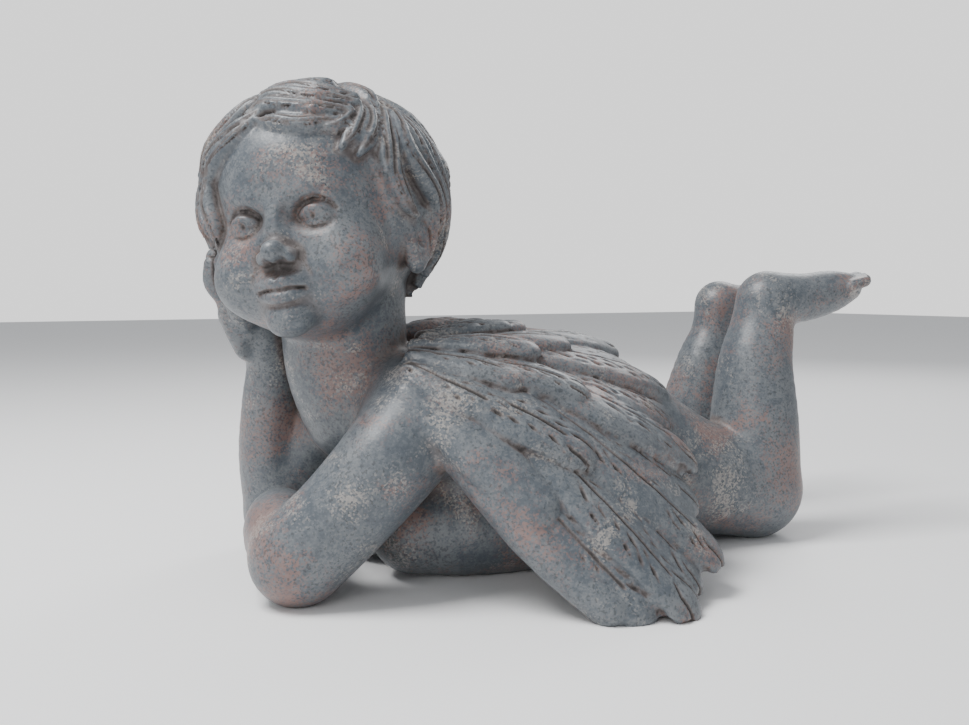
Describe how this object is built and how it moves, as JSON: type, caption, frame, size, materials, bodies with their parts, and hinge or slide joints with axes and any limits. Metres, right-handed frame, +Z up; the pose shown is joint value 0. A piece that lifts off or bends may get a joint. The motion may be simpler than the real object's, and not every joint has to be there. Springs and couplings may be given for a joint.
{
  "type": "stone putto statue",
  "caption": "Carved stone winged child lying on its belly, head propped on one hand, wings folded down its sides and shins raised, resting on its underside as an ornament.",
  "frame": {"origin": "middle of the bounding box's underside, on the ground the statue rests on", "axes": "+X from the head to the feet, +Y to the figure's right, +Z up; the figure faces -X"},
  "size_m": [0.58, 0.4208, 0.3505],
  "materials": {
    "granite": "semi-polished speckled granite"
  },
  "bodies": {
    "root": {"putto_statue": "granite"}
  },
  "joints": []
}
